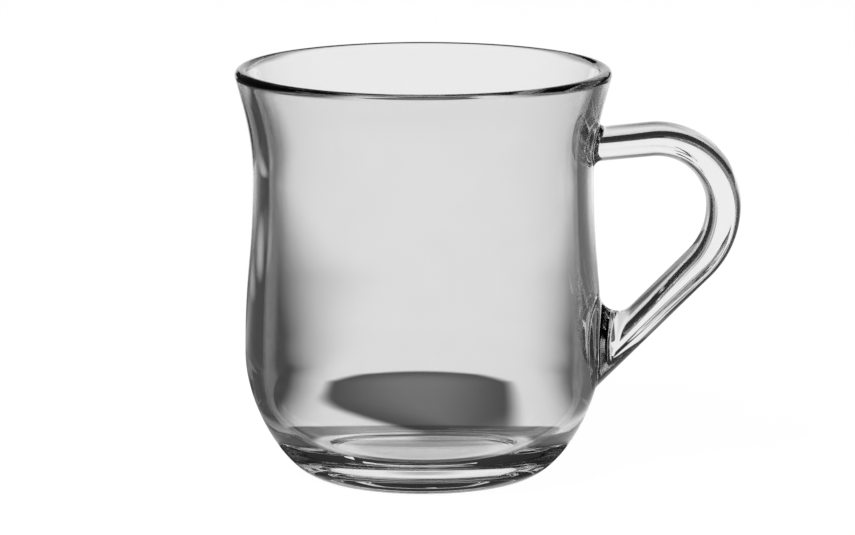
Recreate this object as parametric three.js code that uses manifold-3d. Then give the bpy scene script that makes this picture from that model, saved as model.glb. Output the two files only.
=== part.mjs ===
// Clear glass mug: a blown bowl and a pressed ear handle that is welded to its wall.
// Millimetres, +Z up. The origin is on the bowl's axis, on the plane that the foot rests on.
// The handle points along +X.

import * as THREE from 'three';
import { mergeVertices } from 'three/addons/utils/BufferGeometryUtils.js';
import Module from 'manifold-3d';

const wasm = await Module();
wasm.setup();

// Bowl, outside
const BOWL_HEIGHT = 87.5;
const RIM_DIAMETER = 80;
const WAIST_DIAMETER = 72.5;
const WAIST_DROP = 23.05; // rim down to the waist
const BELLY_DIAMETER = 76;
const BELLY_HEIGHT = 26.25;
const FOOT_DIAMETER = 45.6;

// How the outside curves leave and reach those places: an angle, or the length of a curve's handle
const LIP_FLARE_ANGLE = 14.5; // degrees off vertical
const LIP_PULL = 5.9;
const WAIST_PULL_UP = 9.1;
const WAIST_PULL_DOWN = 17.9;
const BELLY_PULL_UP = 18.5;
const BELLY_PULL_DOWN = 11.1;
const HEEL_ANGLE = 10.5; // degrees above the table
const HEEL_PULL = 7.1;

// Bowl, inside and underneath
const LIP_THICKNESS = 2.3;
const WAIST_WALL = 3.4;
const BELLY_WALL = 3.7;
const BASE_THICKNESS = 5.2;
const FLOOR_DIAMETER = 35; // level part of the floor inside
const INNER_HEEL_PULL = 6.2;
const INNER_BELLY_PULL = 16.1;
const FOOT_RING_WIDTH = 4;
const RECESS_DEPTH = 0.6;
const RECESS_SLOPE_WIDTH = 1.5;

// Handle
const HANDLE_THICKNESS = 7.45; // ridge to ridge
const HANDLE_WIDTH = 13; // across the mug, at the welds
const HANDLE_BEND_WIDTH = 15; // the same at the outermost bend
const HANDLE_FACE = 0.6; // height of the flat front and back, at the welds
const HANDLE_BEND_FACE = 3; // the same at the outermost bend
const RIDGE_ROUNDNESS = 1.2; // 1 is a sharp ridge and 2 is a round one
const EDGE_FULLNESS = 2.4; // 2 is an elliptic edge, and more is a fuller one
const HANDLE_PROJECTION = 31; // wall to the outermost point
const HANDLE_DROP = 16.45; // rim down to the upper weld's centre
const HANDLE_SPAN = 46.5; // upper weld's centre down to the lower weld's centre
const UPPER_BAR_RISE = 5.5; // degrees
const UPPER_BEND_RADIUS = 14.3;
const LOWER_BEND_RADIUS = 17.8;

// Welds between the handle and the bowl
const WELD_FILLET = 1.6;
const CROTCH_FILLET = 3.6; // in the narrow corner above the lower weld
const WELD_TOE = 0.5; // distance from the wall where a fillet ends in a blunt edge
const WELD_GAP = 0.3; // keeps the two solids apart
const WELD_OVERRUN = 8; // the bar's length inside the wall before it is trimmed

// Fineness of the faceted surfaces
const BOWL_SIDES = 72;
const WALL_STEPS = 7;
const LIP_STEPS = 8;
const SECTION_STEPS = 6;
const BAR_STEP = 3.2;
const WELD_STEP = 0.6;

const rimRadius = RIM_DIAMETER / 2;
const waistRadius = WAIST_DIAMETER / 2;
const bellyRadius = BELLY_DIAMETER / 2;
const footRadius = FOOT_DIAMETER / 2;
const lipRadius = LIP_THICKNESS / 2;
const waistHeight = BOWL_HEIGHT - WAIST_DROP;
const lipFlare = THREE.MathUtils.degToRad(LIP_FLARE_ANGLE);
const lipCentre = new THREE.Vector2(rimRadius - lipRadius, BOWL_HEIGHT - lipRadius);
const lipFacing = new THREE.Vector2(Math.cos(lipFlare), -Math.sin(lipFlare));
const lipPull = new THREE.Vector2(-Math.sin(lipFlare), -Math.cos(lipFlare)).multiplyScalar(LIP_PULL);

// A cubic curve through two ends, each with the direction and length of its handle.
function pulledCurve(start, startPull, end, endPull) {
  const firstHandle = start.clone().add(startPull);
  const secondHandle = end.clone().add(endPull);
  return new THREE.CubicBezierCurve(start, firstHandle, secondHandle, end);
}

// The outside of the bowl's wall, from the foot's edge up to where the lip's bead begins.
function outerWallCurves() {
  const heel = THREE.MathUtils.degToRad(HEEL_ANGLE);
  const foot = new THREE.Vector2(footRadius, 0);
  const belly = new THREE.Vector2(bellyRadius, BELLY_HEIGHT);
  const waist = new THREE.Vector2(waistRadius, waistHeight);
  const lip = lipFacing.clone().multiplyScalar(lipRadius).add(lipCentre);
  const heelPull = new THREE.Vector2(Math.cos(heel), Math.sin(heel)).multiplyScalar(HEEL_PULL);
  return [
    pulledCurve(foot, heelPull, belly, new THREE.Vector2(0, -BELLY_PULL_DOWN)),
    pulledCurve(belly, new THREE.Vector2(0, BELLY_PULL_UP), waist, new THREE.Vector2(0, -WAIST_PULL_DOWN)),
    pulledCurve(waist, new THREE.Vector2(0, WAIST_PULL_UP), lip, lipPull),
  ];
}

// The inside of the bowl's wall, from the lip's bead down to the edge of the level floor.
function innerWallCurves() {
  const lip = lipFacing.clone().multiplyScalar(-lipRadius).add(lipCentre);
  const waist = new THREE.Vector2(waistRadius - WAIST_WALL, waistHeight);
  const belly = new THREE.Vector2(bellyRadius - BELLY_WALL, BELLY_HEIGHT);
  const floor = new THREE.Vector2(FLOOR_DIAMETER / 2, BASE_THICKNESS);
  const floorPull = new THREE.Vector2(INNER_HEEL_PULL, 0);
  return [
    pulledCurve(lip, lipPull, waist, new THREE.Vector2(0, WAIST_PULL_UP)),
    pulledCurve(waist, new THREE.Vector2(0, -WAIST_PULL_DOWN), belly, new THREE.Vector2(0, BELLY_PULL_UP)),
    pulledCurve(belly, new THREE.Vector2(0, -INNER_BELLY_PULL), floor, floorPull),
  ];
}

// Points along a run of curves, with the shared ends written once.
function pointsAlong(curves, steps) {
  return curves.flatMap((curve, index) => curve.getPoints(steps).slice(index === 0 ? 0 : 1));
}

const outerWall = pointsAlong(outerWallCurves(), WALL_STEPS);

// Radius of the outside wall at a height, on the straight facets of its profile.
function outerRadiusAt(height) {
  const next = outerWall.findIndex((point, index) => index > 0 && point.y >= height);
  const upper = outerWall[next < 0 ? outerWall.length - 1 : next];
  const lower = outerWall[next < 0 ? outerWall.length - 2 : next - 1];
  const share = THREE.MathUtils.clamp((height - lower.y) / (upper.y - lower.y), 0, 1);
  return THREE.MathUtils.lerp(lower.x, upper.x, share);
}

// Spins a profile of (radius, height) points round the Z axis.
function spun(points) {
  return new THREE.LatheGeometry(points, BOWL_SIDES).rotateX(Math.PI / 2);
}

function bowlGeometry() {
  const recessRadius = footRadius - FOOT_RING_WIDTH - RECESS_SLOPE_WIDTH;
  const bead = new THREE.EllipseCurve(
    lipCentre.x, lipCentre.y, lipRadius, lipRadius, -lipFlare, Math.PI - lipFlare, false,
  );
  return spun([
    new THREE.Vector2(0, RECESS_DEPTH),
    new THREE.Vector2(recessRadius, RECESS_DEPTH),
    new THREE.Vector2(footRadius - FOOT_RING_WIDTH, 0),
    ...outerWall,
    ...bead.getPoints(LIP_STEPS).slice(1, -1),
    ...pointsAlong(innerWallCurves(), WALL_STEPS),
    new THREE.Vector2(0, BASE_THICKNESS),
  ]);
}

// The space that the handle keeps clear of: the bowl without its hollow, grown by the weld's gap.
function bowlEnvelope() {
  const grown = outerWall.map((point) => new THREE.Vector2(point.x + WELD_GAP, point.y));
  return spun([
    new THREE.Vector2(0, grown[0].y - WELD_GAP),
    new THREE.Vector2(grown[0].x, grown[0].y - WELD_GAP),
    ...grown,
    new THREE.Vector2(0, grown[grown.length - 1].y),
  ]);
}

// The handle's centre line in the plane of X (first) and Z (second): a rising bar, two bends that
// meet at the outermost point, and a slanting bar down to the lower weld.
function handleCentreLine() {
  const rise = THREE.MathUtils.degToRad(UPPER_BAR_RISE);
  const upperHeight = BOWL_HEIGHT - HANDLE_DROP;
  const lowerHeight = upperHeight - HANDLE_SPAN;
  const upperWeld = new THREE.Vector2(outerRadiusAt(upperHeight), upperHeight);
  const lowerWeld = new THREE.Vector2(outerRadiusAt(lowerHeight), lowerHeight);
  const outermost = upperWeld.x + HANDLE_PROJECTION - HANDLE_THICKNESS / 2;

  const upperCentreX = outermost - UPPER_BEND_RADIUS;
  const barHeight = upperWeld.y + (upperCentreX - upperWeld.x) * Math.tan(rise);
  const bendHeight = barHeight - UPPER_BEND_RADIUS / Math.cos(rise);
  const upperBend = new THREE.EllipseCurve(
    upperCentreX, bendHeight, UPPER_BEND_RADIUS, UPPER_BEND_RADIUS, Math.PI / 2 + rise, 0, true,
  );

  const lowerCentre = new THREE.Vector2(outermost - LOWER_BEND_RADIUS, bendHeight);
  const toWeld = lowerWeld.clone().sub(lowerCentre);
  const leaveAngle = Math.atan2(toWeld.y, toWeld.x) + Math.acos(LOWER_BEND_RADIUS / toWeld.length());
  const lowerBend = new THREE.EllipseCurve(
    lowerCentre.x, lowerCentre.y, LOWER_BEND_RADIUS, LOWER_BEND_RADIUS, 0, leaveAngle, true,
  );

  const barDirection = new THREE.Vector2(Math.cos(rise), Math.sin(rise));
  const slantDirection = new THREE.Vector2(Math.sin(leaveAngle), -Math.cos(leaveAngle));
  const start = upperWeld.clone().addScaledVector(barDirection, -WELD_OVERRUN);
  const end = lowerWeld.clone().addScaledVector(slantDirection, WELD_OVERRUN);
  const line = new THREE.CurvePath();
  line.add(new THREE.LineCurve(start, upperBend.getPoint(0)));
  line.add(upperBend);
  line.add(lowerBend);
  line.add(new THREE.LineCurve(lowerBend.getPoint(1), end));
  return line;
}

// Distances along the centre line where the handle's section is set: close together where the bar
// flares into a weld, wider on the free bar.
function sectionDistances(length) {
  const upperFlareEnd = WELD_OVERRUN + 2 * WELD_FILLET;
  const lowerFlareStart = length - 2 * WELD_OVERRUN - 2 * CROTCH_FILLET;
  const spread = (from, to, step) => {
    const count = Math.ceil((to - from) / step);
    return Array.from({ length: count }, (_, index) => from + ((to - from) * index) / count);
  };
  return [
    ...spread(0, upperFlareEnd, WELD_STEP),
    ...spread(upperFlareEnd, lowerFlareStart, BAR_STEP),
    ...spread(lowerFlareStart, length, WELD_STEP),
    length,
  ];
}

// Outline of the handle's section, as offsets and facing directions: x is away from the finger gap,
// y is across the mug. Flat faces at the front and back curve over to a ridge in the middle of each side.
function sectionOutline(fullness) {
  const halfWidth = THREE.MathUtils.lerp(HANDLE_WIDTH, HANDLE_BEND_WIDTH, fullness) / 2;
  const halfFace = THREE.MathUtils.lerp(HANDLE_FACE, HANDLE_BEND_FACE, fullness) / 2;
  const sideHeight = HANDLE_THICKNESS / 2 - halfFace;
  const quarter = Array.from({ length: SECTION_STEPS + 1 }, (_, step) => {
    const angle = (step / SECTION_STEPS) * (Math.PI / 2);
    const facing = new THREE.Vector2(step < SECTION_STEPS ? Math.cos(angle) : 0, Math.sin(angle));
    const x = halfFace + sideHeight * facing.x ** (2 / EDGE_FULLNESS);
    const y = halfWidth * facing.y ** (2 / RIDGE_ROUNDNESS);
    return { offset: new THREE.Vector2(x, y), facing };
  });
  const turned = (points, signs) =>
    points.map(({ offset, facing }) => ({
      offset: offset.clone().multiply(signs),
      facing: facing.clone().multiply(signs),
    }));
  const half = [...quarter, ...turned(quarter.toReversed(), new THREE.Vector2(-1, 1)).slice(0, -1)];
  return [...half, ...turned(half, new THREE.Vector2(-1, -1))];
}

// How far a fillet stands off the bar, measured along the wall, at a distance from the wall. A lean
// of 0 is a bar square to the wall, and a lean towards 1 is the narrow corner of a slanting bar.
function filletRise(fillet, lean, distance) {
  const reach = fillet * (1 + lean);
  if (distance >= reach) return 0;
  const fromWall = Math.max(distance, WELD_TOE);
  const slope = Math.sqrt(1 - lean * lean);
  const arc = Math.sqrt(Math.max(fillet * fillet - (fromWall - fillet) ** 2, 0));
  return reach / slope - arc - (fromWall * lean) / slope;
}

// Moves a point of the bar's surface along the wall where the bar flares into its weld: sideways by
// the fillet on the bar's flank, and up or down by the fillet above or below it.
function flared(point, facing, outward, fillet) {
  const wallNormal = new THREE.Vector3(point.x, point.y, 0).normalize();
  const distance = Math.hypot(point.x, point.y) - outerRadiusAt(point.z);
  const lean = -Math.sign(facing.x) * outward.dot(wallNormal);
  const sideways = facing.y * filletRise(WELD_FILLET, 0, distance);
  const upwards = facing.x * Math.sign(outward.z) * filletRise(fillet, lean, distance);
  return point.clone().add(new THREE.Vector3(0, sideways, upwards));
}

// How much of the bend's section the bar has: none at its ends and all of it in the middle.
function bendFullness(share) {
  return Math.sin(Math.PI * share) ** 4;
}

// Sweeps the section along the centre line, with both ends run into the wall.
function handleBar() {
  const line = handleCentreLine();
  const length = line.getLength();
  const rings = sectionDistances(length).map((distance) => {
    const share = distance / length;
    const middle = line.getPoint(share);
    const ahead = line.getTangent(share);
    const outward = new THREE.Vector3(-ahead.y, 0, ahead.x);
    const isNarrowCorner = (facing) => ahead.x < 0 && facing.x < 0;
    return sectionOutline(bendFullness(share)).map(({ offset, facing }) => {
      const point = new THREE.Vector3(middle.x, offset.y, middle.y).addScaledVector(outward, offset.x);
      return flared(point, facing, outward, isNarrowCorner(facing) ? CROTCH_FILLET : WELD_FILLET);
    });
  });
  return closedLoft(rings);
}

// A closed surface through rings of points, with a flat fan over each end ring.
function closedLoft(rings) {
  const ringSize = rings[0].length;
  const lastRing = (rings.length - 1) * ringSize;
  const index = [];
  for (let ring = 0; ring < lastRing; ring += ringSize) {
    for (let side = 0; side < ringSize; side += 1) {
      const a = ring + side;
      const b = ring + ((side + 1) % ringSize);
      index.push(a, b + ringSize, b, a, a + ringSize, b + ringSize);
    }
  }
  for (let side = 1; side < ringSize - 1; side += 1) {
    index.push(0, side, side + 1);
    index.push(lastRing, lastRing + side + 1, lastRing + side);
  }
  const geometry = new THREE.BufferGeometry().setFromPoints(rings.flat());
  geometry.setIndex(index);
  return geometry;
}

function toSolid(geometry) {
  geometry.deleteAttribute('normal');
  geometry.deleteAttribute('uv');
  const merged = mergeVertices(geometry);
  const vertProperties = new Float32Array(merged.attributes.position.array);
  const triVerts = new Uint32Array(merged.index.array);
  return new wasm.Manifold(new wasm.Mesh({ numProp: 3, vertProperties, triVerts }));
}

function toGeometry(solid) {
  const mesh = solid.getMesh();
  const geometry = new THREE.BufferGeometry();
  geometry.setAttribute('position', new THREE.BufferAttribute(mesh.vertProperties, 3));
  geometry.setIndex(new THREE.BufferAttribute(mesh.triVerts, 1));
  geometry.computeVertexNormals();
  return geometry;
}

function handleGeometry() {
  return toGeometry(toSolid(handleBar()).subtract(toSolid(bowlEnvelope())));
}

function clearGlass() {
  return new THREE.MeshStandardMaterial({
    color: 0xe9eeed, roughness: 0.03, metalness: 0, transparent: true, opacity: 0.35,
  });
}

const bowl = new THREE.Mesh(bowlGeometry(), clearGlass());
bowl.name = 'bowl';

const handle = new THREE.Mesh(handleGeometry(), clearGlass());
handle.name = 'handle';

const mug = new THREE.Group();
mug.add(bowl, handle);

export default mug;
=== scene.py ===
"""Clear glass mug on a white table: a blown bowl, and a pressed ear handle that is welded to its wall.

Lengths are in metres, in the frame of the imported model. The origin is on the bowl's axis, on the plane that
the foot rests on. +Z is up and +X points at the handle.
"""

import logging
import math
from dataclasses import dataclass, field
from enum import Enum
from typing import Any, Iterable, Sequence

import bmesh
import bpy
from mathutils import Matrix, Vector
from mathutils.geometry import interpolate_bezier


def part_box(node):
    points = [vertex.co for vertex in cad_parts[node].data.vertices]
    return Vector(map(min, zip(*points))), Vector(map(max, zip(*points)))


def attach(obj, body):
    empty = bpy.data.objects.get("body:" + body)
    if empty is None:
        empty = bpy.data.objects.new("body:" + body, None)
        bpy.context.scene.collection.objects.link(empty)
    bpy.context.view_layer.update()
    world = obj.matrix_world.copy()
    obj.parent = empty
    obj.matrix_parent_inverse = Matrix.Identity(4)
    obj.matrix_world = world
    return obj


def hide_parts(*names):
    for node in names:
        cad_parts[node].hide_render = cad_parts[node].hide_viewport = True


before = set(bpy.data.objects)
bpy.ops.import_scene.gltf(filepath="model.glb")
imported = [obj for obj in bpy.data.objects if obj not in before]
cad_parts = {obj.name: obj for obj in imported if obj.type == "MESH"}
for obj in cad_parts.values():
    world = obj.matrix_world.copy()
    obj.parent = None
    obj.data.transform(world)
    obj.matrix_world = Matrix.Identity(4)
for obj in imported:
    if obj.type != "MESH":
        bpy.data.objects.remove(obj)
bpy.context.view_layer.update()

LOG = logging.getLogger("glass_mug")
MM = 0.001
MERGE_DISTANCE = 0.001 * MM
# Half the side of a grid before it is shaped.
GRID_REACH = 0.5
# The colour sockets of a Mix node, by number.
MIX_DARK, MIX_LIGHT, MIX_RESULT = 6, 7, 2
BOUNCES = {
    "max_bounces": 32,
    "transmission_bounces": 32,
    "glossy_bounces": 24,
    "transparent_max_bounces": 32,
}


class Slot(Enum):
    """The record's material slots."""

    GLASS = "clear_glass"


class Body(Enum):
    """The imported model's moving bodies: the mug is one rigid body."""

    MUG = "root"


class Value:
    """A number in a node tree. Python's operators on it add Math nodes."""

    def __init__(self, graph: "Graph", socket: bpy.types.NodeSocket) -> None:
        """Wraps an output socket of a node in the graph."""
        self.graph = graph
        self.socket = socket

    def _math(self, operation: str, *others: "Value | float") -> "Value":
        """The result of a new Math node on this and the operands after it."""
        return self.graph.math(operation, self, *others)

    def __add__(self, other: "Value | float") -> "Value":
        """This plus the other."""
        return self._math("ADD", other)

    def __radd__(self, other: float) -> "Value":
        """The other plus this."""
        return self._math("ADD", other)

    def __sub__(self, other: "Value | float") -> "Value":
        """This minus the other."""
        return self._math("SUBTRACT", other)

    def __rsub__(self, other: float) -> "Value":
        """The other minus this."""
        return self.graph.math("SUBTRACT", other, self)

    def __mul__(self, other: "Value | float") -> "Value":
        """This times the other."""
        return self._math("MULTIPLY", other)

    def __rmul__(self, other: float) -> "Value":
        """The other times this."""
        return self._math("MULTIPLY", other)

    def __truediv__(self, other: "Value | float") -> "Value":
        """This divided by the other."""
        return self._math("DIVIDE", other)

    def __pow__(self, other: float) -> "Value":
        """This raised to a power."""
        return self._math("POWER", other)

    def __abs__(self) -> "Value":
        """This without its sign."""
        return self._math("ABSOLUTE")

    def __lt__(self, other: "Value | float") -> "Value":
        """1 where this is less than the other, and 0 elsewhere."""
        return self._math("LESS_THAN", other)

    def __gt__(self, other: "Value | float") -> "Value":
        """1 where this is greater than the other, and 0 elsewhere."""
        return self._math("GREATER_THAN", other)

    def at_least(self, floor: "Value | float") -> "Value":
        """The greater of this and the floor."""
        return self._math("MAXIMUM", floor)

    def at_most(self, ceiling: "Value | float") -> "Value":
        """The lesser of this and the ceiling."""
        return self._math("MINIMUM", ceiling)

    def root(self) -> "Value":
        """The square root."""
        return self._math("SQRT")

    def ramp(self, low: float, high: float) -> "Value":
        """A smooth step.

        Args:
            low: the value where the result is 0.
            high: the value where the result is 1.

        Returns:
            A number from 0 to 1.
        """
        settings = {"interpolation_type": "SMOOTHSTEP"}
        inputs = {"Value": self, "From Min": low, "From Max": high}
        return Value(self.graph, self.graph.node("ShaderNodeMapRange", settings, inputs).outputs["Result"])

    def past(self, place: float, softness: float) -> "Value":
        """A smooth step from 0 to 1 about a place, with the softness on either side of it."""
        return self.ramp(place - softness, place + softness)

    def between(self, start: float, end: float) -> "Value":
        """The start where this is 0, and the end where it is 1."""
        return self * (end - start) + start

    def shaded(self, mask: "Value", level: "Value | float") -> "Value":
        """This, brought down to a share of itself where the mask is 1."""
        return self * (1.0 - mask * (1.0 - level))


def hypotenuse(first: Value, second: Value) -> Value:
    """The distance that two distances at right angles make."""
    return (first * first + second * second).root()


def grey(level: float) -> tuple[float, float, float, float]:
    """An opaque grey of the given level."""
    return (level, level, level, 1.0)


class Graph:
    """Builds one node tree."""

    def __init__(self, tree: bpy.types.NodeTree) -> None:
        """Clears the tree and keeps it for building."""
        tree.nodes.clear()
        self.tree = tree

    def node(
        self,
        kind: str,
        settings: dict[str, Any] | None = None,
        inputs: dict[str | int, Any] | None = None,
    ) -> bpy.types.Node:
        """Adds a node.

        Args:
            kind: the node's type name.
            settings: the node's own properties, which are set first.
            inputs: a value, a Value or an output socket for each named or numbered input.

        Returns:
            The new node.
        """
        made = self.tree.nodes.new(kind)
        for name, value in (settings or {}).items():
            setattr(made, name, value)
        for name, value in (inputs or {}).items():
            self.feed(made.inputs[name], value)
        return made

    def feed(self, target: bpy.types.NodeSocket, value: Any) -> None:
        """Links an input or sets it.

        Args:
            target: the input.
            value: a Value or an output socket, which is linked, or a plain number or colour, which is set.
        """
        if isinstance(value, Value):
            self.tree.links.new(value.socket, target)
        elif isinstance(value, bpy.types.NodeSocket):
            self.tree.links.new(value, target)
        else:
            target.default_value = value

    def math(self, operation: str, *operands: Value | float) -> Value:
        """Adds a Math node on numbers and Values, and returns its result."""
        made = self.node("ShaderNodeMath", {"operation": operation}, dict(enumerate(operands)))
        return Value(self, made.outputs[0])

    def output(self, node: bpy.types.Node, name: str) -> Value:
        """One of a node's outputs as a Value."""
        return Value(self, node.outputs[name])

    def axes(self, vector: bpy.types.NodeSocket) -> list[Value]:
        """The X, Y and Z of a vector."""
        parts = self.node("ShaderNodeSeparateXYZ", None, {"Vector": vector})
        return [self.output(parts, name) for name in "XYZ"]

    def object_axes(self) -> list[Value]:
        """The X, Y and Z of the shaded point in the object's own coordinates."""
        return self.axes(self.node("ShaderNodeTexCoord").outputs["Object"])

    def facing(self) -> Value:
        """0 where the surface is seen square on and 1 where it is seen edge on."""
        return self.output(self.node("ShaderNodeLayerWeight", None, {"Blend": 0.5}), "Facing")

    def shade(self, level: Value, dark: float = 0.0) -> bpy.types.NodeSocket:
        """A grey, which is the dark one where the level is 0 and white where it is 1."""
        colours = {"Factor": level, MIX_DARK: grey(dark), MIX_LIGHT: grey(1.0)}
        return self.node("ShaderNodeMix", {"data_type": "RGBA"}, colours).outputs[MIX_RESULT]

    def glow(self, colour: Any, strength: float = 1.0) -> bpy.types.NodeSocket:
        """The shader of a surface that shines by itself."""
        return self.node("ShaderNodeEmission", None, {"Color": colour, "Strength": strength}).outputs[0]

    def mix(
        self, factor: Any, first: bpy.types.NodeSocket, second: bpy.types.NodeSocket
    ) -> bpy.types.NodeSocket:
        """The first shader where the factor is 0, and the second where it is 1."""
        return self.node("ShaderNodeMixShader", None, {"Fac": factor, 1: first, 2: second}).outputs[0]

    def surface(self, shader: bpy.types.NodeSocket) -> None:
        """Makes a shader the one that the material's surface has."""
        self.node("ShaderNodeOutputMaterial", None, {"Surface": shader})


def new_material(name: str) -> tuple[bpy.types.Material, Graph]:
    """Makes a node material.

    Args:
        name: the material's name.

    Returns:
        The material, and the graph of its tree.
    """
    material = bpy.data.materials.new(name)
    material.use_nodes = True
    return material, Graph(material.node_tree)


def cubic(start: Vector, start_pull: Vector, end: Vector, end_pull: Vector, steps: int) -> list[Vector]:
    """Points on a cubic curve.

    Args:
        start: the first point.
        start_pull: the curve's direction and reach at the first point.
        end: the last point.
        end_pull: the same at the last point, pointing back along the curve.
        steps: the number of stretches.

    Returns:
        The points from start to end.
    """
    return interpolate_bezier(start, start + start_pull, end + end_pull, end, steps + 1)


def profile_point(radius: float, height: float) -> Vector:
    """A point of a spun profile, in the XZ plane."""
    return Vector((radius, 0.0, height))


def link_mesh(
    name: str, shape: bmesh.types.BMesh, materials: Sequence[bpy.types.Material]
) -> bpy.types.Object:
    """Turns a bmesh into an object of the scene.

    Args:
        name: the object's name.
        shape: the finished bmesh, which is freed here.
        materials: the object's materials, by slot.

    Returns:
        The object.
    """
    mesh = bpy.data.meshes.new(name)
    shape.to_mesh(mesh)
    shape.free()
    for material in materials:
        mesh.materials.append(material)
    made = bpy.data.objects.new(name, mesh)
    bpy.context.scene.collection.objects.link(made)
    return made


def finish_piece(
    name: str, shape: bmesh.types.BMesh, materials: Sequence[bpy.types.Material], node: str
) -> bpy.types.Object:
    """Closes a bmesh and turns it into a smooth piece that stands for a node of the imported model.

    Args:
        name: the piece's name.
        shape: the piece's bmesh, which may still have doubles where it closes.
        materials: the piece's materials, by slot.
        node: the node that the piece replaces.

    Returns:
        The piece's object.
    """
    bmesh.ops.remove_doubles(shape, verts=shape.verts, dist=MERGE_DISTANCE)
    bmesh.ops.recalc_face_normals(shape, faces=shape.faces)
    for face in shape.faces:
        face.smooth = True
    piece = link_mesh(name, shape, materials)
    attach(piece, Body.MUG.value)
    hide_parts(node)
    LOG.info("%s: %d faces", name, len(piece.data.polygons))
    return piece


def flat_sheet(name: str, size: tuple[float, float], material: bpy.types.Material) -> bpy.types.Object:
    """Makes a flat sheet about the origin, facing up.

    Args:
        name: the sheet's name.
        size: its length along X and along Y.
        material: its material.

    Returns:
        The sheet.
    """
    shape = bmesh.new()
    bmesh.ops.create_grid(shape, x_segments=1, y_segments=1, size=GRID_REACH)
    bmesh.ops.scale(shape, vec=(*size, 1.0), verts=shape.verts)
    return link_mesh(name, shape, [material])


@dataclass(frozen=True)
class WeldPad:
    """The rounded place on the bowl's wall where one end of the handle is fused to it."""

    centre_height: float
    half_width: float
    half_height: float
    fullness: float = 2.4

    def outline_point(self, angle: float) -> tuple[float, float]:
        """A point of the outline.

        Args:
            angle: the turn from the top.

        Returns:
            The point's height above the centre, and its distance across.
        """
        up, across = math.cos(angle), math.sin(angle)
        reach = (abs(up) ** self.fullness + abs(across) ** self.fullness) ** (-1 / self.fullness)
        return self.half_height * up * reach, self.half_width * across * reach

    def mask(self, across: Value, height: Value) -> Value:
        """1 on the pad and 0 off it.

        Args:
            across: the point's Y.
            height: the point's Z.

        Returns:
            The mask, which holds for every depth along X.
        """
        sideways = abs(across / self.half_width) ** self.fullness
        upright = abs((height - self.centre_height) / self.half_height) ** self.fullness
        return (sideways + upright) < 1.0


@dataclass(frozen=True)
class ClearGlass:
    """Colourless pressed or blown glass, with the faint waves of a surface that set while it was hot.

    The edge and lip values say how far a painted shade darkens its colour where it is seen edge on.
    """

    tint: float = 0.893
    tint_drift: float = 0.012
    ior: float = 1.52
    roughness: float = 0.0
    wave_size: float = 9 * MM
    wave_height: float = 0.004 * MM
    wave_detail: float = 1.0
    wave_roughness: float = 0.4
    # How far a painted shade darkens surfaces seen edge on: the handle's sides and underside, and the bowl's
    # lip.
    painted_edge_facing_start: float = 0.5
    painted_edge_facing_full: float = 0.68
    painted_edge_shade_strength: float = 0.94
    upper_side: float = 0.35
    painted_lip_facing_start: float = 0.3
    painted_lip_facing_full: float = 0.5
    painted_lip_shade_strength: float = 0.8

    def painted_edge_shade_mask(self, graph: Graph) -> Value:
        """How far a painted shade darkens a side or lower surface where it is seen edge on; upper surfaces
        stay clear.

        Args:
            graph: the material's graph.

        Returns:
            A share from 0 to 1.
        """
        upward = graph.axes(graph.node("ShaderNodeNewGeometry").outputs["Normal"])[2]
        edge = graph.facing().ramp(self.painted_edge_facing_start, self.painted_edge_facing_full)
        return edge * (1.0 - upward.ramp(0.0, self.upper_side))

    def shader(
        self, graph: Graph, alpha: Value | float = 1.0, edge: Value | float = 0.0
    ) -> bpy.types.NodeSocket:
        """The glass shader with its waves.

        Args:
            graph: the material's graph.
            alpha: 0 where the surface is fused to its neighbour, so that light passes straight on.
            edge: the painted shade where the glass is seen edge on, 1 where it darkens the glass's colour in
                full.

        Returns:
            The shader.
        """
        noise = graph.node(
            "ShaderNodeTexNoise", {"noise_dimensions": "3D"},
            {
                "Vector": graph.node("ShaderNodeTexCoord").outputs["Object"],
                "Scale": 1.0 / self.wave_size,
                "Detail": self.wave_detail,
                "Roughness": self.wave_roughness,
            },
        )
        waves = graph.output(noise, "Fac")
        bump = graph.node(
            "ShaderNodeBump", None, {"Strength": 1.0, "Distance": self.wave_height, "Height": waves},
        )
        # A random drift of the tint, darkened by the painted edge shade.
        level = ((waves - 0.5) * (2 * self.tint_drift) + self.tint) * (1.0 - self.painted_edge_shade_strength * edge)
        glass = graph.node(
            "ShaderNodeBsdfPrincipled", None,
            {
                "Base Color": graph.shade(level),
                "Roughness": self.roughness,
                "IOR": self.ior,
                "Transmission Weight": 1.0,
                "Alpha": alpha,
                "Normal": bump.outputs["Normal"],
            },
        )
        return glass.outputs["BSDF"]

    def free_surface(self, name: str) -> bpy.types.Material:
        """The glass where it meets the air, with a painted shade that darkens it where it is seen edge on.

        Args:
            name: the material's name.

        Returns:
            The material.
        """
        material, graph = new_material(name)
        graph.surface(self.shader(graph, edge=self.painted_edge_shade_mask(graph)))
        return material

    def welded_surface(self, name: str) -> bpy.types.Material:
        """The glass where it is fused to its neighbour all over.

        Args:
            name: the material's name.

        Returns:
            The material.
        """
        material, graph = new_material(name)
        graph.surface(self.shader(graph, alpha=0.0))
        return material

    def wall_surface(
        self, name: str, pads: Iterable[WeldPad], wall_radius: float, painted_lip_shade_start: float, painted_lip_shade_full: float,
    ) -> bpy.types.Material:
        """The bowl's glass, which is fused to the handle on its pads.

        Args:
            name: the material's name.
            pads: the places of the welds.
            wall_radius: a radius between the inside and the outside of the wall there.
            painted_lip_shade_start: the height from which a painted shade darkens the lip where it is seen
                edge on.
            painted_lip_shade_full: the height at which the painted shade on the lip is full.

        Returns:
            The material.
        """
        material, graph = new_material(name)
        along, across, height = graph.object_axes()
        handle_side = (hypotenuse(along, across) > wall_radius) * (along > 0.0)
        fused = graph.math("MAXIMUM", *[pad.mask(across, height) for pad in pads]) * handle_side
        # A painted shade darkens the lip where it is seen edge on.
        edge = graph.facing().ramp(self.painted_lip_facing_start, self.painted_lip_facing_full)
        lip = height.ramp(painted_lip_shade_start, painted_lip_shade_full) * edge * self.painted_lip_shade_strength
        graph.surface(self.shader(graph, 1.0 - fused, lip))
        return material


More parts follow.
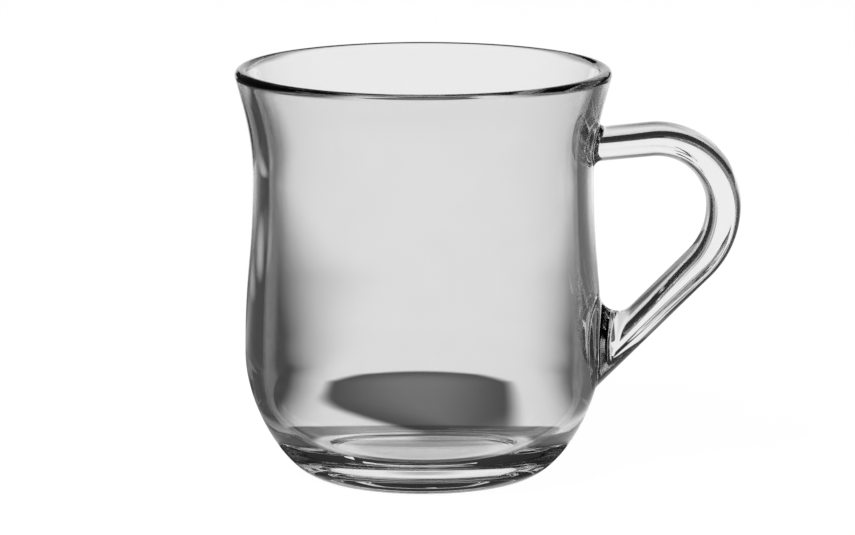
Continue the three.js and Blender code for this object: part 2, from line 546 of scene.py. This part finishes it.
@dataclass
class Bowl:
    """The blown bowl: a closed wall of revolution with a bead at the lip and a recess under the foot."""

    height: float
    rim_radius: float
    waist_radius: float = 36.25 * MM
    waist_drop: float = 23.05 * MM
    belly_radius: float = 38.0 * MM
    belly_height: float = 26.25 * MM
    foot_radius: float = 22.8 * MM
    lip_flare: float = math.radians(14.5)
    lip_pull: float = 5.9 * MM
    waist_pull_up: float = 9.1 * MM
    waist_pull_down: float = 17.9 * MM
    belly_pull_up: float = 18.5 * MM
    belly_pull_down: float = 11.1 * MM
    heel_angle: float = math.radians(10.5)
    heel_pull: float = 7.1 * MM
    lip_thickness: float = 2.9 * MM
    waist_wall: float = 3.4 * MM
    belly_wall: float = 3.7 * MM
    base_thickness: float = 5.4 * MM
    floor_radius: float = 19.5 * MM
    inner_heel_pull: float = 5.5 * MM
    inner_belly_pull: float = 17.0 * MM
    foot_ring_width: float = 2.4 * MM
    recess_depth: float = 0.6 * MM
    recess_slope: float = 1.5 * MM
    # Depths below the top where the painted shade on the lip starts, and where it is full.
    painted_lip_shade_start_depth: float = 1.6 * MM
    painted_lip_shade_full_depth: float = 0.7 * MM
    sides: int = 320
    wall_steps: int = 24
    lip_steps: int = 24
    floor_steps: int = 6
    outer_points: list[Vector] = field(init=False)

    def __post_init__(self) -> None:
        """Works out the outside of the wall, which the handle is fitted to."""
        self.waist_height = self.height - self.waist_drop
        self.lip_radius = self.lip_thickness / 2
        self.lip_centre = profile_point(self.rim_radius - self.lip_radius, self.height - self.lip_radius)
        self.lip_side = profile_point(math.cos(self.lip_flare), -math.sin(self.lip_flare))
        self.lip_down = profile_point(-math.sin(self.lip_flare), -math.cos(self.lip_flare))
        self.outer_points = self.outer_wall()

    def outer_wall(self) -> list[Vector]:
        """The outside of the wall.

        Returns:
            The profile's points, from the foot's edge up to the lip's bead.
        """
        foot = profile_point(self.foot_radius, 0.0)
        belly = profile_point(self.belly_radius, self.belly_height)
        waist = profile_point(self.waist_radius, self.waist_height)
        lip = self.lip_centre + self.lip_side * self.lip_radius
        heel_way = profile_point(math.cos(self.heel_angle), math.sin(self.heel_angle))
        up = profile_point(0.0, 1.0)
        steps = self.wall_steps
        heel = cubic(foot, heel_way * self.heel_pull, belly, -up * self.belly_pull_down, steps)
        side = cubic(belly, up * self.belly_pull_up, waist, -up * self.waist_pull_down, steps)
        flare = cubic(waist, up * self.waist_pull_up, lip, self.lip_down * self.lip_pull, steps)
        return heel + side[1:] + flare[1:]

    def inner_wall(self) -> list[Vector]:
        """The inside of the wall.

        Returns:
            The profile's points, from the lip's bead down to the edge of the level floor.
        """
        lip = self.lip_centre - self.lip_side * self.lip_radius
        waist = profile_point(self.waist_radius - self.waist_wall, self.waist_height)
        belly = profile_point(self.belly_radius - self.belly_wall, self.belly_height)
        floor = profile_point(self.floor_radius, self.base_thickness)
        up = profile_point(0.0, 1.0)
        out = profile_point(1.0, 0.0)
        steps = self.wall_steps
        flare = cubic(lip, self.lip_down * self.lip_pull, waist, up * self.waist_pull_up, steps)
        side = cubic(waist, -up * self.waist_pull_down, belly, up * self.belly_pull_up, steps)
        heel = cubic(belly, -up * self.inner_belly_pull, floor, out * self.inner_heel_pull, steps)
        return flare + side[1:] + heel[1:]

    def lip_bead(self) -> list[Vector]:
        """The rounded bead over the lip, between the two sides of the wall.

        Returns:
            The profile's points, without the ones that the wall already has.
        """
        points = []
        for step in range(1, self.lip_steps):
            angle = math.pi * step / self.lip_steps - self.lip_flare
            points.append(self.lip_centre + profile_point(math.cos(angle), math.sin(angle)) * self.lip_radius)
        return points

    def underside(self) -> list[Vector]:
        """The recess and the inner edge of the flat ring that the bowl stands on.

        Returns:
            The profile's points, from the axis outwards.
        """
        ring_inner = self.foot_radius - self.foot_ring_width
        recess = ring_inner - self.recess_slope
        radii = [recess * step / self.floor_steps for step in range(self.floor_steps + 1)]
        level = [profile_point(radius, self.recess_depth) for radius in radii]
        return level + [profile_point(ring_inner, 0.0)]

    def floor(self) -> list[Vector]:
        """The level floor inside, from its edge to the axis."""
        shares = [1 - step / self.floor_steps for step in range(1, self.floor_steps + 1)]
        return [profile_point(self.floor_radius * share, self.base_thickness) for share in shares]

    def radius_at(self, height: float) -> float:
        """The outside radius of the wall.

        Args:
            height: the height over the foot.

        Returns:
            The radius there, or the last one for a height above the wall.
        """
        for low, high in zip(self.outer_points, self.outer_points[1:]):
            if high.z >= height:
                share = (height - low.z) / (high.z - low.z)
                return low.x + (high.x - low.x) * max(share, 0.0)
        return self.outer_points[-1].x

    def wall_point(self, across: float, height: float) -> Vector:
        """The point of the outside wall on the handle's side, at a Y and a Z."""
        radius = self.radius_at(height)
        return Vector((math.sqrt(radius * radius - across * across), across, height))

    def build(self) -> bmesh.types.BMesh:
        """Spins the closed profile round the axis.

        Returns:
            The bowl's surface.
        """
        points = self.underside() + self.outer_points + self.lip_bead() + self.inner_wall() + self.floor()
        shape = bmesh.new()
        verts = [shape.verts.new(point) for point in points]
        edges = [shape.edges.new(pair) for pair in zip(verts, verts[1:])]
        bmesh.ops.spin(
            shape, geom=verts + edges, cent=(0, 0, 0), axis=(0, 0, 1), angle=math.tau,
            steps=self.sides, use_merge=True,
        )
        return shape

    def dress(self, glass: ClearGlass, pads: Sequence[WeldPad]) -> bpy.types.Object:
        """Makes the bowl's piece, with its welds open to the handle.

        Args:
            glass: the bowl's finish.
            pads: the places of the welds.

        Returns:
            The piece.
        """
        wall_radius = self.waist_radius - self.waist_wall / 3
        painted_lip_shade_start = self.height - self.painted_lip_shade_start_depth
        painted_lip_shade_full = self.height - self.painted_lip_shade_full_depth
        material = glass.wall_surface("blown_glass", pads, wall_radius, painted_lip_shade_start, painted_lip_shade_full)
        return finish_piece("bowl_glass", self.build(), [material], "bowl")


@dataclass
class Handle:
    """The pressed ear handle: a bar with flat faces and ridged sides.

    It leaves the wall under the rim, bends back and flares into a weld at either end.
    """

    bowl: Bowl
    thickness: float = 7.45 * MM
    width: float = 13.0 * MM
    bend_width: float = 15.0 * MM
    face: float = 0.6 * MM
    bend_face: float = 3.0 * MM
    ridge_roundness: float = 1.2
    edge_fullness: float = 2.4
    ridge_softness: float = 0.3 * MM
    plain_end: float = 8.0 * MM
    swell_power: int = 4
    projection: float = 31.0 * MM
    drop: float = 16.45 * MM
    span: float = 46.5 * MM
    rise: float = math.radians(5.5)
    upper_bend: float = 14.3 * MM
    lower_bend: float = 17.8 * MM
    upper_side_fillet: float = 1.2 * MM
    lower_side_fillet: float = 2.4 * MM
    upper_fillet: float = 1.3 * MM
    first_ring_fillets: float = 2.5
    crotch_reach: float = 8.9 * MM
    under_reach: float = 0.9 * MM
    section_steps: int = 22
    face_steps: int = 4
    flare_steps: int = 14
    cap_steps: int = 5
    meet_steps: int = 12
    bar_step: float = 0.9 * MM
    fused_index: int = 1

    def __post_init__(self) -> None:
        """Works out the centre line from the two welds and the bends."""
        self.upper_height = self.bowl.height - self.drop
        self.lower_height = self.upper_height - self.span
        upper = profile_point(self.bowl.radius_at(self.upper_height), self.upper_height)
        lower = profile_point(self.bowl.radius_at(self.lower_height), self.lower_height)
        outermost = upper.x + self.projection - self.thickness / 2
        upper_x = outermost - self.upper_bend
        bar_height = upper.z + (upper_x - upper.x) * math.tan(self.rise)
        bend_height = bar_height - self.upper_bend / math.cos(self.rise)
        self.upper_centre = profile_point(upper_x, bend_height)
        self.lower_centre = profile_point(outermost - self.lower_bend, bend_height)
        to_weld = lower - self.lower_centre
        self.leave = math.atan2(to_weld.z, to_weld.x) + math.acos(self.lower_bend / to_weld.length)
        self.upper_start = upper
        self.bar_way = profile_point(math.cos(self.rise), math.sin(self.rise))
        self.slant_way = profile_point(math.sin(self.leave), -math.cos(self.leave))
        bar_end = self.upper_centre + profile_point(-self.bar_way.z, self.bar_way.x) * self.upper_bend
        last_spoke = profile_point(math.cos(self.leave), math.sin(self.leave))
        self.slant_start = self.lower_centre + last_spoke * self.lower_bend
        self.bar_length = (bar_end - upper).length
        self.upper_arc = (math.pi / 2 + self.rise) * self.upper_bend
        self.lower_arc = -self.leave * self.lower_bend
        slant_length = (lower - self.slant_start).length
        self.length = self.bar_length + self.upper_arc + self.lower_arc + slant_length

    def centre(self, distance: float) -> tuple[Vector, Vector]:
        """The centre line at a distance from the upper weld.

        Args:
            distance: along the line, from where it leaves the wall.

        Returns:
            The point, and the direction of travel.
        """
        if distance <= self.bar_length:
            return self.upper_start + self.bar_way * distance, self.bar_way
        distance -= self.bar_length
        if distance <= self.upper_arc:
            angle = math.pi / 2 + self.rise - distance / self.upper_bend
            middle, radius = self.upper_centre, self.upper_bend
        elif distance <= self.upper_arc + self.lower_arc:
            angle = -(distance - self.upper_arc) / self.lower_bend
            middle, radius = self.lower_centre, self.lower_bend
        else:
            along = distance - self.upper_arc - self.lower_arc
            return self.slant_start + self.slant_way * along, self.slant_way
        spoke = profile_point(math.cos(angle), math.sin(angle))
        return middle + spoke * radius, profile_point(spoke.z, -spoke.x)

    def outline(self, fullness: float) -> list[tuple[float, float]]:
        """The bar's section as offsets away from the finger gap and across the mug.

        Args:
            fullness: 0 for the section at the welds and 1 for the one at the outermost bend.

        Returns:
            The points, counter-clockwise, with the first one repeated at the end.
        """
        half_width = (self.width + (self.bend_width - self.width) * fullness) / 2
        half_face = (self.face + (self.bend_face - self.face) * fullness) / 2
        side_height = self.thickness / 2 - half_face
        side = []
        for step in range(self.section_steps):
            reach = math.sin(math.pi / 2 * step / self.section_steps)
            across = half_width * reach ** (2 / self.ridge_roundness)
            softened = math.hypot(across, self.ridge_softness * (1 - across / half_width))
            share = max(1 - (softened / half_width) ** self.ridge_roundness, 0.0)
            side.append((half_face + side_height * share ** (1 / self.edge_fullness), across))
        shares = [1 - 2 * step / self.face_steps for step in range(self.face_steps + 1)]
        face = [(half_face * share, half_width) for share in shares]
        half = side + face + [(-out, across) for out, across in side[:0:-1]]
        points = half + [(-out, -across) for out, across in half]
        return points + points[:1]

    def ring(self, distance: float) -> list[Vector]:
        """The bar's section in its place.

        Args:
            distance: along the centre line, from where it leaves the wall.

        Returns:
            The ring's points.
        """
        middle, ahead = self.centre(distance)
        outward = Vector((-ahead.z, 0.0, ahead.x))
        across = Vector((0.0, 1.0, 0.0))
        share = (distance + self.plain_end) / (self.length + 2 * self.plain_end)
        fullness = math.sin(math.pi * share) ** self.swell_power
        return [middle + outward * out + across * side for out, side in self.outline(fullness)]

    def upper_pad(self) -> WeldPad:
        """The place of the upper weld on the wall."""
        half_height = self.thickness / 2 / math.cos(self.rise) + self.upper_fillet
        return WeldPad(self.upper_height, self.width / 2 + self.upper_side_fillet, half_height)

    def lower_pad(self) -> WeldPad:
        """The place of the lower weld on the wall.

        Returns:
            The pad, which reaches high into the corner above the bar.
        """
        half_bar = self.thickness / 2 / abs(self.slant_way.x)
        top = self.lower_height + half_bar + self.crotch_reach
        bottom = self.lower_height - half_bar - self.under_reach
        return WeldPad((top + bottom) / 2, self.width / 2 + self.lower_side_fillet, (top - bottom) / 2)

    def meet_wall(self, point: Vector, way: Vector) -> Vector:
        """Where a straight line of the bar's surface meets the bowl's wall.

        Args:
            point: a point of the line close to the wall.
            way: the line's direction, away from the wall.

        Returns:
            The meeting point.
        """
        for _ in range(self.meet_steps):
            gap = math.hypot(point.x, point.y) - self.bowl.radius_at(point.z)
            point = point - way * (gap / way.x)
        return point

    def pad_ring(self, pad: WeldPad, upside: int, share: float) -> list[Vector]:
        """The pad's outline on the wall, shrunk to a share of its size.

        Args:
            pad: the weld's place.
            upside: 1 if the side away from the finger gap is the upper one, or else -1.
            share: 1 for the whole outline and 0 for its centre.

        Returns:
            The ring's points.
        """
        turns = [math.atan2(side / self.width, out / self.thickness) for out, side in self.outline(0.0)]
        return [
            self.bowl.wall_point(across * share, pad.centre_height + upside * up * share)
            for up, across in map(pad.outline_point, turns)
        ]

    def flare(self, pad: WeldPad, upside: int, distance: float, way: Vector) -> list[list[Vector]]:
        """Rings that round the bar's surface into the wall.

        Args:
            pad: the weld's place.
            upside: as for pad_ring.
            distance: where the centre line meets the wall.
            way: the bar's direction, away from the wall.

        Returns:
            The rings, from the bar to the pad's outline.
        """
        corners = [self.meet_wall(point, way) for point in self.ring(distance)]
        pairs = list(zip(corners, self.pad_ring(pad, upside, 1.0)))
        shares = [step / self.flare_steps for step in range(self.flare_steps + 1)]
        return [[self.fillet_point(corner, end, way, share) for corner, end in pairs] for share in shares]

    @staticmethod
    def fillet_point(corner: Vector, end: Vector, way: Vector, share: float) -> Vector:
        """A point on the arc that rounds a corner.

        Args:
            corner: where the bar's line meets the wall.
            end: where the arc touches the wall.
            way: the bar's direction, away from the wall.
            share: 0 on the bar and 1 on the wall.

        Returns:
            The point.
        """
        along_wall = end - corner
        start = corner + way * along_wall.length
        opening = along_wall.angle(way)
        near, far = (1 - share) ** 2, share ** 2
        middle = 2 * math.sin(opening / 2) * share * (1 - share)
        return (start * near + corner * middle + end * far) / (near + middle + far)

    def rings(self) -> list[list[Vector]]:
        """All rings of the handle.

        Returns:
            The rings, from the middle of the upper weld to the middle of the lower one.
        """
        caps = [step / self.cap_steps for step in range(self.cap_steps)]
        upper, lower = self.upper_pad(), self.lower_pad()
        flare_up = self.flare(upper, 1, 0.0, self.bar_way)
        flare_down = self.flare(lower, -1, self.length, -self.slant_way)
        first = self.first_ring_fillets * self.upper_fillet
        last = self.length - self.crotch_reach - self.thickness
        count = math.ceil((last - first) / self.bar_step)
        bar = [self.ring(first + (last - first) * step / count) for step in range(count + 1)]
        return (
            [self.pad_ring(upper, 1, share) for share in caps]
            + flare_up[::-1]
            + bar
            + flare_down
            + [self.pad_ring(lower, -1, share) for share in caps[::-1]]
        )

    def build(self) -> bmesh.types.BMesh:
        """Rolls a grid into the handle's closed surface.

        Returns:
            The surface, with its two fused ends in a material of their own behind a sharp rim.
        """
        rings = self.rings()
        rows, columns = len(rings) - 1, len(rings[0]) - 1
        shape = bmesh.new()
        bmesh.ops.create_grid(shape, x_segments=rows, y_segments=columns, size=GRID_REACH)
        fused = []
        for face in shape.faces:
            row = math.floor((face.calc_center_median().x + GRID_REACH) * rows)
            if row < self.cap_steps or row >= rows - self.cap_steps:
                face.material_index = self.fused_index
                fused.append(face)
        for vert in shape.verts:
            row = round((vert.co.x + GRID_REACH) * rows)
            column = round((vert.co.y + GRID_REACH) * columns)
            vert.co = rings[row][column]
        for edge in {edge for face in fused for edge in face.edges}:
            if len({face.material_index for face in edge.link_faces}) > 1:
                edge.smooth = False
        return shape

    def dress(self, glass: ClearGlass) -> bpy.types.Object:
        """Makes the handle's piece, with its welds open to the bowl."""
        materials = [glass.free_surface("pressed_glass"), glass.welded_surface("fused_glass")]
        return finish_piece("handle_glass", self.build(), materials, "handle")


@dataclass
class PhotoCamera:
    """The camera at the photograph's place: a long lens a little above the rim."""

    elevation: float = math.radians(10.36)
    distance: float = 1.2
    target: tuple[float, float, float] = (0.9 * MM, 0.0, 44.4 * MM)
    focal_pixels: float = 5627.9
    image_width: int = 855
    sensor_width: float = 36.0

    def build(self) -> bpy.types.Object:
        """Makes the camera and gives it to the scene.

        Returns:
            The camera.
        """
        data = bpy.data.cameras.new("photo_camera")
        data.sensor_width = self.sensor_width
        data.lens = self.focal_pixels / self.image_width * self.sensor_width
        camera = bpy.data.objects.new("photo_camera", data)
        away = Vector((0.0, -math.cos(self.elevation), math.sin(self.elevation)))
        camera.location = Vector(self.target) + away * self.distance
        camera.rotation_euler = (math.pi / 2 - self.elevation, 0.0, 0.0)
        bpy.context.scene.collection.objects.link(camera)
        bpy.context.scene.camera = camera
        return camera


@dataclass(frozen=True)
class LitEdge:
    """One edge of the lit part of the table: straight beside the mug, and spreading out behind it."""

    place: float
    spread: float
    blur: float
    blur_spread: float
    dark: float
    start: float = 130 * MM
    blur_reach: float = 90 * MM

    def lit(self, outwards: Value, away: Value) -> Value:
        """How far a point is inside the edge.

        Args:
            outwards: the point's distance from the middle of the table, towards this edge.
            away: the point's Y.

        Returns:
            1 in the light and 0 in the dark.
        """
        behind = (away - self.start).at_least(0.0)
        width = behind.at_most(self.blur_reach) * self.blur_spread + self.blur
        return ((behind * self.spread + self.place - outwards) / width).ramp(0.0, 1.0)


@dataclass(frozen=True)
class MugShadow:
    """The mug's round shadow on the table behind it, dark along its edge and paler in the middle."""

    middle_x: float = -1.65 * MM
    half_width: float = 26.55 * MM
    turn: float = 87 * MM
    far_reach: float = 25 * MM
    near: float = 28 * MM
    left_slimness: float = 1.55
    right_taper: float = 0.13
    softness: float = 3.5 * MM
    front_start: float = 6 * MM
    front_full: float = 14 * MM
    edge: float = 0.08
    middle: float = 0.21
    middle_depth: float = 23 * MM

    def level(self, graph: Graph, across: Value, away: Value) -> Value:
        """The share of the light that reaches a point of the table.

        Args:
            graph: the graph of the table's material, which is not used here.
            across: the point's X.
            away: the point's Y.

        Returns:
            A level from 0 to 1.
        """
        beside = across - self.middle_x
        far = (away - self.turn).at_least(0.0) / self.far_reach
        from_end = (1.0 - hypotenuse(beside / self.half_width, far)) * self.half_width
        approach = ((self.turn - away) / (self.turn - self.near)).at_least(0.0).at_most(1.0)
        from_left = beside + (1.0 - approach ** self.left_slimness) * self.half_width
        from_right = (1.0 - self.right_taper * approach) * self.half_width - beside
        inside = from_end.at_most(from_left).at_most(from_right)
        shade = inside.past(0.0, self.softness) * away.ramp(self.front_start, self.front_full)
        level = inside.ramp(0.0, self.middle_depth).between(self.edge, self.middle)
        return 1.0 - shade * (1.0 - level)


@dataclass(frozen=True)
class FootShade:
    """The shades on the table at the mug's foot, and the dim table on the camera's side.

    There is a dark ring where the heel overhangs the table, and a paler shade under the base. Near the mug,
    the table is darker still where it is seen steeply.
    """

    inner: float = 25.5 * MM
    outer: float = 38 * MM
    softness: float = 1.5 * MM
    side_level: float = 0.03
    front_level: float = 0.45
    side_start: float = 0.4
    side_full: float = 0.85
    under_radius: float = 15 * MM
    under_softness: float = 3 * MM
    under_level: float = 0.62
    steep_radius: float = 32 * MM
    steep_end: float = 40 * MM
    steep_level: float = 0.08
    steep_facing: float = 0.2
    slant_facing: float = 0.4
    dim_start: float = -43 * MM
    dim_softness: float = 8 * MM
    dim_near: float = 0.2
    dim_far: float = 0.36
    near_reach: float = 60 * MM
    far_reach: float = 200 * MM

    def level(self, graph: Graph, across: Value, away: Value, lit: Value) -> Value:
        """The table's brightness with these shades.

        Args:
            graph: the graph of the table's material.
            across: the point's X.
            away: the point's Y.
            lit: the brightness without them.

        Returns:
            A level from 0 to 1.
        """
        radius = hypotenuse(across, away)
        ring = radius.past(self.inner, self.softness) * (1.0 - radius.past(self.outer, self.softness))
        sideways = (abs(across) / radius).ramp(self.side_start, self.side_full)
        under = 1.0 - radius.past(self.under_radius, self.under_softness)
        near = 1.0 - radius.ramp(self.steep_radius, self.steep_end)
        steep = (1.0 - graph.facing().ramp(self.steep_facing, self.slant_facing)) * near
        lit = lit.shaded(ring, sideways.between(self.front_level, self.side_level))
        lit = lit.shaded(under, self.under_level).shaded(steep, self.steep_level)
        dim = 1.0 - away.past(self.dim_start, self.dim_softness)
        distant = (0.0 - away).ramp(self.near_reach, self.far_reach)
        return lit + (distant.between(self.dim_near, self.dim_far) - lit) * dim


@dataclass(frozen=True)
class LitSpot:
    """A second patch of light on the table, far out on one side."""

    across: float
    away: float
    radius: float
    softness: float
    bright: float

    def lit(self, across: Value, away: Value) -> Value:
        """The patch's own brightness at a point of the table."""
        distance = hypotenuse(across - self.across, away - self.away)
        return (1.0 - distance.past(self.radius, self.softness)) * self.bright


@dataclass(frozen=True)
class TableLight:
    """The light painted on the table, as the glass shows it: a lit part that opens towards the backdrop, and
    shades.

    X runs across the table and Y runs away from the camera.
    """

    left: LitEdge = LitEdge(place=52.5 * MM, spread=0.515, blur=28.5 * MM, blur_spread=0.69, dark=0.07)
    right: LitEdge = LitEdge(place=67 * MM, spread=0.72, blur=35 * MM, blur_spread=0.71, dark=0.15)
    spot: LitSpot = LitSpot(across=-182 * MM, away=245 * MM, radius=36 * MM, softness=30 * MM, bright=0.6)
    shadow: MugShadow = MugShadow()
    foot: FootShade = FootShade()

    def level(self, graph: Graph, across: Value, away: Value) -> Value:
        """The table's brightness.

        Args:
            graph: the graph of the table's material.
            across: the point's X.
            away: the point's Y.

        Returns:
            A level from 0 to 1.
        """
        in_left = self.left.lit(0.0 - across, away)
        in_right = self.right.lit(across, away)
        lit = in_left * in_right + (1.0 - in_left) * self.left.dark + (1.0 - in_right) * self.right.dark
        lit = lit.at_least(self.spot.lit(across, away)) * self.shadow.level(graph, across, away)
        return self.foot.level(graph, across, away, lit)


@dataclass(frozen=True)
class Card:
    """A glowing upright card behind the mug, a patch of painted light that shows in the glass and not to the
    camera.
    """

    name: str
    across: float
    height: float
    size: tuple[float, float]
    away: float = 300 * MM

    def build(self) -> bpy.types.Object:
        """Stands the card upright.

        Returns:
            The card.
        """
        material, graph = new_material(self.name)
        graph.surface(graph.glow(grey(1.0)))
        card = flat_sheet(self.name, self.size, material)
        card.location = (self.across, self.away, self.height)
        card.rotation_euler = (math.pi / 2, 0.0, 0.0)
        card.visible_camera = False
        card.visible_diffuse = False
        card.visible_shadow = False
        return card


@dataclass
class Studio:
    """A white table in a dark room, with a low bright backdrop and cards behind it, under one soft lamp."""

    floor_size: float = 12.0
    floor_level: float = -0.02 * MM
    table_light: TableLight = field(default_factory=TableLight)
    table_glow: float = 1.07
    paint_level: float = 0.9
    paint_roughness: float = 0.8
    shadow_share: float = 0.08
    room_level: float = 0.03
    backdrop_left: float = math.radians(-15)
    backdrop_right: float = math.radians(14)
    backdrop_top: float = math.radians(5.5)
    side_softness: float = math.radians(2)
    top_softness: float = math.radians(1)
    lamp_power: float = 12.0
    lamp_size: tuple[float, float] = (0.5, 0.7)
    lamp_place: tuple[float, float, float] = (-0.5, -0.9, 1.2)
    lamp_target: tuple[float, float, float] = (0.0, 0.0, 0.04)
    cards: tuple[Card, ...] = (
        Card("right_card", 67.5 * MM, 170 * MM, (95 * MM, 160 * MM)),
        Card("far_card", 149.5 * MM, 187 * MM, (69 * MM, 126 * MM)),
        Card("low_card", 147 * MM, 80 * MM, (26 * MM, 20 * MM)),
        Card("left_card", -40 * MM, 132 * MM, (120 * MM, 84 * MM)),
        Card("high_card", -36 * MM, 270 * MM, (48 * MM, 60 * MM)),
    )

    def floor(self) -> bpy.types.Object:
        """Makes the table.

        Returns:
            The table.
        """
        table = flat_sheet("white_table", (self.floor_size, self.floor_size), self.table_material())
        table.location = (0.0, 0.0, self.floor_level)
        return table

    def table_material(self) -> bpy.types.Material:
        """The table's paint and glow.

        Returns:
            The material: white to the camera but for a soft shadow, and to the glass a glow with the table's
                light and shades painted in.
        """
        material, graph = new_material("white_table")
        across, away, _ = graph.object_axes()
        coat = {"Base Color": grey(self.paint_level), "Roughness": self.paint_roughness}
        paint = graph.node("ShaderNodeBsdfPrincipled", None, coat).outputs["BSDF"]
        to_camera = graph.mix(self.shadow_share, graph.glow(grey(1.0), self.table_glow), paint)
        # The glass sees the table's glow, with the light and shades painted in.
        painted_glow_to_glass = graph.glow(graph.shade(self.table_light.level(graph, across, away)))
        path = graph.node("ShaderNodeLightPath")
        graph.surface(graph.mix(path.outputs["Is Camera Ray"], painted_glow_to_glass, to_camera))
        return material

    def world(self) -> None:
        """Makes the dark room and the low bright backdrop."""
        world = bpy.data.worlds.new("studio")
        world.use_nodes = True
        bpy.context.scene.world = world
        graph = Graph(world.node_tree)
        across, away, up = graph.axes(graph.node("ShaderNodeTexCoord").outputs["Generated"])
        turn = graph.math("ARCTAN2", across, away)
        rise = graph.math("ARCSINE", up)
        panel = turn.past(self.backdrop_left, self.side_softness)
        panel = panel * (1.0 - turn.past(self.backdrop_right, self.side_softness))
        panel = panel * (1.0 - rise.past(self.backdrop_top, self.top_softness))
        colour = graph.shade(panel, self.room_level)
        light = graph.node("ShaderNodeBackground", None, {"Color": colour, "Strength": 1.0})
        graph.node("ShaderNodeOutputWorld", None, {"Surface": light.outputs["Background"]})

    def lamp(self) -> bpy.types.Object:
        """Makes the soft lamp above the camera's left shoulder, which the glass does not mirror.

        Returns:
            The lamp.
        """
        data = bpy.data.lights.new("soft_lamp", "AREA")
        data.shape = "RECTANGLE"
        data.size, data.size_y = self.lamp_size
        data.energy = self.lamp_power
        lamp = bpy.data.objects.new("soft_lamp", data)
        lamp.location = self.lamp_place
        ahead = Vector(self.lamp_target) - lamp.location
        lamp.rotation_euler = ahead.to_track_quat("-Z", "Y").to_euler()
        lamp.visible_glossy = False
        lamp.visible_transmission = False
        bpy.context.scene.collection.objects.link(lamp)
        return lamp


def main() -> None:
    """Builds the mug, the table, the light and the camera."""
    logging.basicConfig(level=logging.INFO, format="%(name)s: %(message)s")
    low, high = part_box("bowl")
    bowl = Bowl(height=high.z, rim_radius=(high.y - low.y) / 2)
    handle = Handle(bowl)
    glass = ClearGlass()
    bowl.dress(glass, [handle.upper_pad(), handle.lower_pad()])
    handle.dress(glass)
    PhotoCamera().build()
    studio = Studio()
    studio.floor()
    studio.world()
    for card in studio.cards:
        card.build()
    studio.lamp()
    bpy.context.scene.view_settings.view_transform = "Standard"
    for setting, count in BOUNCES.items():
        setattr(bpy.context.scene.cycles, setting, count)


if __name__ == "__main__":
    main()
